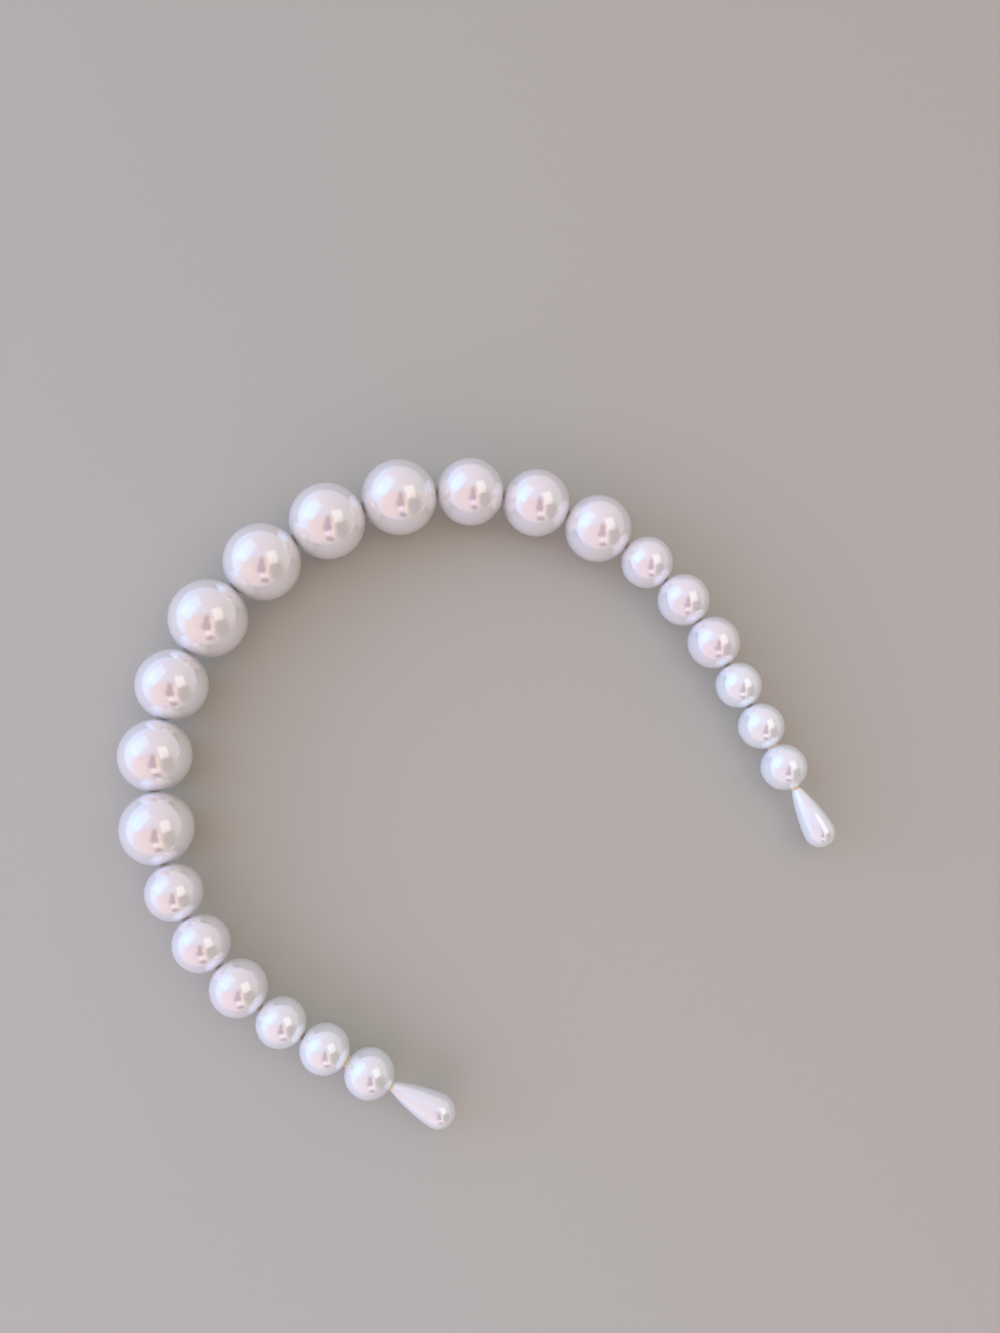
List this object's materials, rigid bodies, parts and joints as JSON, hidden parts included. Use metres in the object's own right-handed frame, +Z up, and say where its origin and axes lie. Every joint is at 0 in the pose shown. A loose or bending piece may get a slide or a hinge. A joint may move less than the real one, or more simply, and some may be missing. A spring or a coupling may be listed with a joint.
{
  "type": "pearl headband",
  "caption": "C-shaped sprung hair band of graduated round pearls threaded on a gilt wire, largest at the crown, with a drop pearl glued on each tip.",
  "frame": {"origin": "under the middle of the band, on the surface that it lies on", "axes": "+Z up from the surface that the band lies on, +Y towards the crown, +X towards the right arm seen from above"},
  "size_m": [0.1652, 0.155, 0.0201],
  "materials": {
    "pearl": "pearlescent white lacquer, glossy, with a faint pink and blue sheen",
    "wire": "gold-plated spring steel, bright",
    "adhesive": "clear amber cured adhesive, glossy"
  },
  "bodies": {
    "wire_crown": {"wire_crown": "wire"},
    "pearl_crown_1": {"pearl_crown_1": "pearl"},
    "pearl_crown_2": {"pearl_crown_2": "pearl"},
    "pearl_crown_3": {"pearl_crown_3": "pearl"},
    "pearl_crown_4": {"pearl_crown_4": "pearl"},
    "wire_left_upper": {"wire_left_upper": "wire"},
    "pearl_left_large_1": {"pearl_left_large_1": "pearl"},
    "pearl_left_large_2": {"pearl_left_large_2": "pearl"},
    "pearl_left_large_3": {"pearl_left_large_3": "pearl"},
    "wire_left_middle": {"wire_left_middle": "wire"},
    "pearl_left_medium_1": {"pearl_left_medium_1": "pearl"},
    "pearl_left_medium_2": {"pearl_left_medium_2": "pearl"},
    "pearl_left_medium_3": {"pearl_left_medium_3": "pearl"},
    "wire_left_tip": {"wire_left_tip": "wire", "pearl_left_small_3": "pearl", "drop_left": "pearl", "glue_left_drop": "adhesive", "glue_left_pearl": "adhesive"},
    "pearl_left_small_1": {"pearl_left_small_1": "pearl"},
    "pearl_left_small_2": {"pearl_left_small_2": "pearl"},
    "wire_right_upper": {"wire_right_upper": "wire"},
    "pearl_right_large_1": {"pearl_right_large_1": "pearl"},
    "pearl_right_large_2": {"pearl_right_large_2": "pearl"},
    "pearl_right_large_3": {"pearl_right_large_3": "pearl"},
    "wire_right_middle": {"wire_right_middle": "wire"},
    "pearl_right_medium_1": {"pearl_right_medium_1": "pearl"},
    "pearl_right_medium_2": {"pearl_right_medium_2": "pearl"},
    "pearl_right_medium_3": {"pearl_right_medium_3": "pearl"},
    "wire_right_tip": {"wire_right_tip": "wire", "pearl_right_small_3": "pearl", "drop_right": "pearl", "glue_right_drop": "adhesive", "glue_right_pearl": "adhesive"},
    "pearl_right_small_1": {"pearl_right_small_1": "pearl"},
    "pearl_right_small_2": {"pearl_right_small_2": "pearl"}
  },
  "joints": [
    {"name": "spin_crown_1", "type": "hinge", "parent": "wire_crown", "child": "pearl_crown_1", "pos_m": [-0.03088, 0.06256, 0.01], "axis": [-0.9266, -0.3759, -0.01], "continuous": true},
    {"name": "spin_crown_2", "type": "hinge", "parent": "wire_crown", "child": "pearl_crown_2", "pos_m": [-0.01145, 0.06756, 0.01013], "axis": [-0.9926, -0.121, -0.0032], "continuous": true},
    {"name": "spin_crown_3", "type": "hinge", "parent": "wire_crown", "child": "pearl_crown_3", "pos_m": [0.00861, 0.06756, 0.01013], "axis": [0.9928, -0.1196, -0.0032], "continuous": true},
    {"name": "spin_crown_4", "type": "hinge", "parent": "wire_crown", "child": "pearl_crown_4", "pos_m": [0.02806, 0.06268, 0.01], "axis": [0.9304, -0.3664, -0.0097], "continuous": true},
    {"name": "flex_left_upper", "type": "hinge", "parent": "wire_crown", "child": "wire_left_upper", "pos_m": [-0.0401, 0.05843, 0.00989], "axis": [0, 0.0266, -0.9996], "range_deg": [-3, 8], "stiffness_Nm_per_rad": 0.3},
    {"name": "spin_left_large_1", "type": "hinge", "parent": "wire_left_upper", "child": "pearl_left_large_1", "pos_m": [-0.04752, 0.05314, 0.00975], "axis": [-0.7947, -0.6068, -0.0161], "continuous": true},
    {"name": "spin_left_large_2", "type": "hinge", "parent": "wire_left_upper", "child": "pearl_left_large_2", "pos_m": [-0.06037, 0.04047, 0.00941], "axis": [-0.6178, -0.7861, -0.0209], "continuous": true},
    {"name": "spin_left_large_3", "type": "hinge", "parent": "wire_left_upper", "child": "pearl_left_large_3", "pos_m": [-0.06965, 0.02498, 0.009], "axis": [-0.4018, -0.9154, -0.0244], "continuous": true},
    {"name": "flex_left_middle", "type": "hinge", "parent": "wire_left_upper", "child": "wire_left_middle", "pos_m": [-0.07303, 0.01655, 0.00877], "axis": [0, 0.0266, -0.9996], "range_deg": [-1.5, 4], "stiffness_Nm_per_rad": 0.42},
    {"name": "spin_left_medium_1", "type": "hinge", "parent": "wire_left_middle", "child": "pearl_left_medium_1", "pos_m": [-0.07454, 0.00962, 0.00859], "axis": [-0.1873, -0.982, -0.0261], "continuous": true},
    {"name": "spin_left_medium_2", "type": "hinge", "parent": "wire_left_middle", "child": "pearl_left_medium_2", "pos_m": [-0.07581, -0.00438, 0.00822], "axis": [0.0077, -0.9996, -0.0266], "continuous": true},
    {"name": "spin_left_medium_3", "type": "hinge", "parent": "wire_left_middle", "child": "pearl_left_medium_3", "pos_m": [-0.07432, -0.01835, 0.00784], "axis": [0.2023, -0.979, -0.026], "continuous": true},
    {"name": "flex_left_tip", "type": "hinge", "parent": "wire_left_middle", "child": "wire_left_tip", "pos_m": [-0.07272, -0.02524, 0.00766], "axis": [0, 0.0266, -0.9996], "range_deg": [-1, 2.5], "stiffness_Nm_per_rad": 0.35},
    {"name": "spin_left_small_1", "type": "hinge", "parent": "wire_left_tip", "child": "pearl_left_small_1", "pos_m": [-0.07057, -0.03103, 0.00751], "axis": [0.3628, -0.9315, -0.0248], "continuous": true},
    {"name": "spin_left_small_2", "type": "hinge", "parent": "wire_left_tip", "child": "pearl_left_small_2", "pos_m": [-0.06559, -0.04229, 0.00721], "axis": [0.4345, -0.9004, -0.024], "continuous": true},
    {"name": "flex_right_upper", "type": "hinge", "parent": "wire_crown", "child": "wire_right_upper", "pos_m": [0.03733, 0.05866, 0.00989], "axis": [0, -0.0266, 0.9996], "range_deg": [-3, 8], "stiffness_Nm_per_rad": 0.3},
    {"name": "spin_right_large_1", "type": "hinge", "parent": "wire_right_upper", "child": "pearl_right_large_1", "pos_m": [0.04485, 0.05353, 0.00976], "axis": [0.8081, -0.5888, -0.0157], "continuous": true},
    {"name": "spin_right_large_2", "type": "hinge", "parent": "wire_right_upper", "child": "pearl_right_large_2", "pos_m": [0.05806, 0.04122, 0.00943], "axis": [0.6445, -0.7643, -0.0203], "continuous": true},
    {"name": "spin_right_large_3", "type": "hinge", "parent": "wire_right_upper", "child": "pearl_right_large_3", "pos_m": [0.06796, 0.02612, 0.00903], "axis": [0.4437, -0.8959, -0.0238], "continuous": true},
    {"name": "flex_right_middle", "type": "hinge", "parent": "wire_right_upper", "child": "wire_right_middle", "pos_m": [0.07174, 0.01786, 0.00881], "axis": [0, -0.0266, 0.9996], "range_deg": [-1.5, 4], "stiffness_Nm_per_rad": 0.42},
    {"name": "spin_right_medium_1", "type": "hinge", "parent": "wire_right_middle", "child": "pearl_right_medium_1", "pos_m": [0.07362, 0.01103, 0.00863], "axis": [0.2427, -0.9697, -0.0258], "continuous": true},
    {"name": "spin_right_medium_2", "type": "hinge", "parent": "wire_right_middle", "child": "pearl_right_medium_2", "pos_m": [0.07576, -0.00286, 0.00826], "axis": [0.0611, -0.9978, -0.0265], "continuous": true},
    {"name": "spin_right_medium_3", "type": "hinge", "parent": "wire_right_middle", "child": "pearl_right_medium_3", "pos_m": [0.07559, -0.01691, 0.00788], "axis": [-0.0749, -0.9968, -0.0265], "continuous": true},
    {"name": "flex_right_tip", "type": "hinge", "parent": "wire_right_middle", "child": "wire_right_tip", "pos_m": [0.07498, -0.02395, 0.00769], "axis": [0, -0.0266, 0.9996], "range_deg": [-1, 2.5], "stiffness_Nm_per_rad": 0.35},
    {"name": "spin_right_small_1", "type": "hinge", "parent": "wire_right_tip", "child": "pearl_right_small_1", "pos_m": [0.0742, -0.03006, 0.00753], "axis": [-0.1273, -0.9915, -0.0264], "continuous": true},
    {"name": "spin_right_small_2", "type": "hinge", "parent": "wire_right_tip", "child": "pearl_right_small_2", "pos_m": [0.0726, -0.04227, 0.00721], "axis": [-0.131, -0.991, -0.0264], "continuous": true}
  ],
  "couplings": [
    {"joint": "flex_left_middle", "follows": "flex_left_upper", "ratio": 0.45},
    {"joint": "flex_left_tip", "follows": "flex_left_upper", "ratio": 0.25},
    {"joint": "flex_right_middle", "follows": "flex_right_upper", "ratio": 0.45},
    {"joint": "flex_right_tip", "follows": "flex_right_upper", "ratio": 0.25}
  ]
}
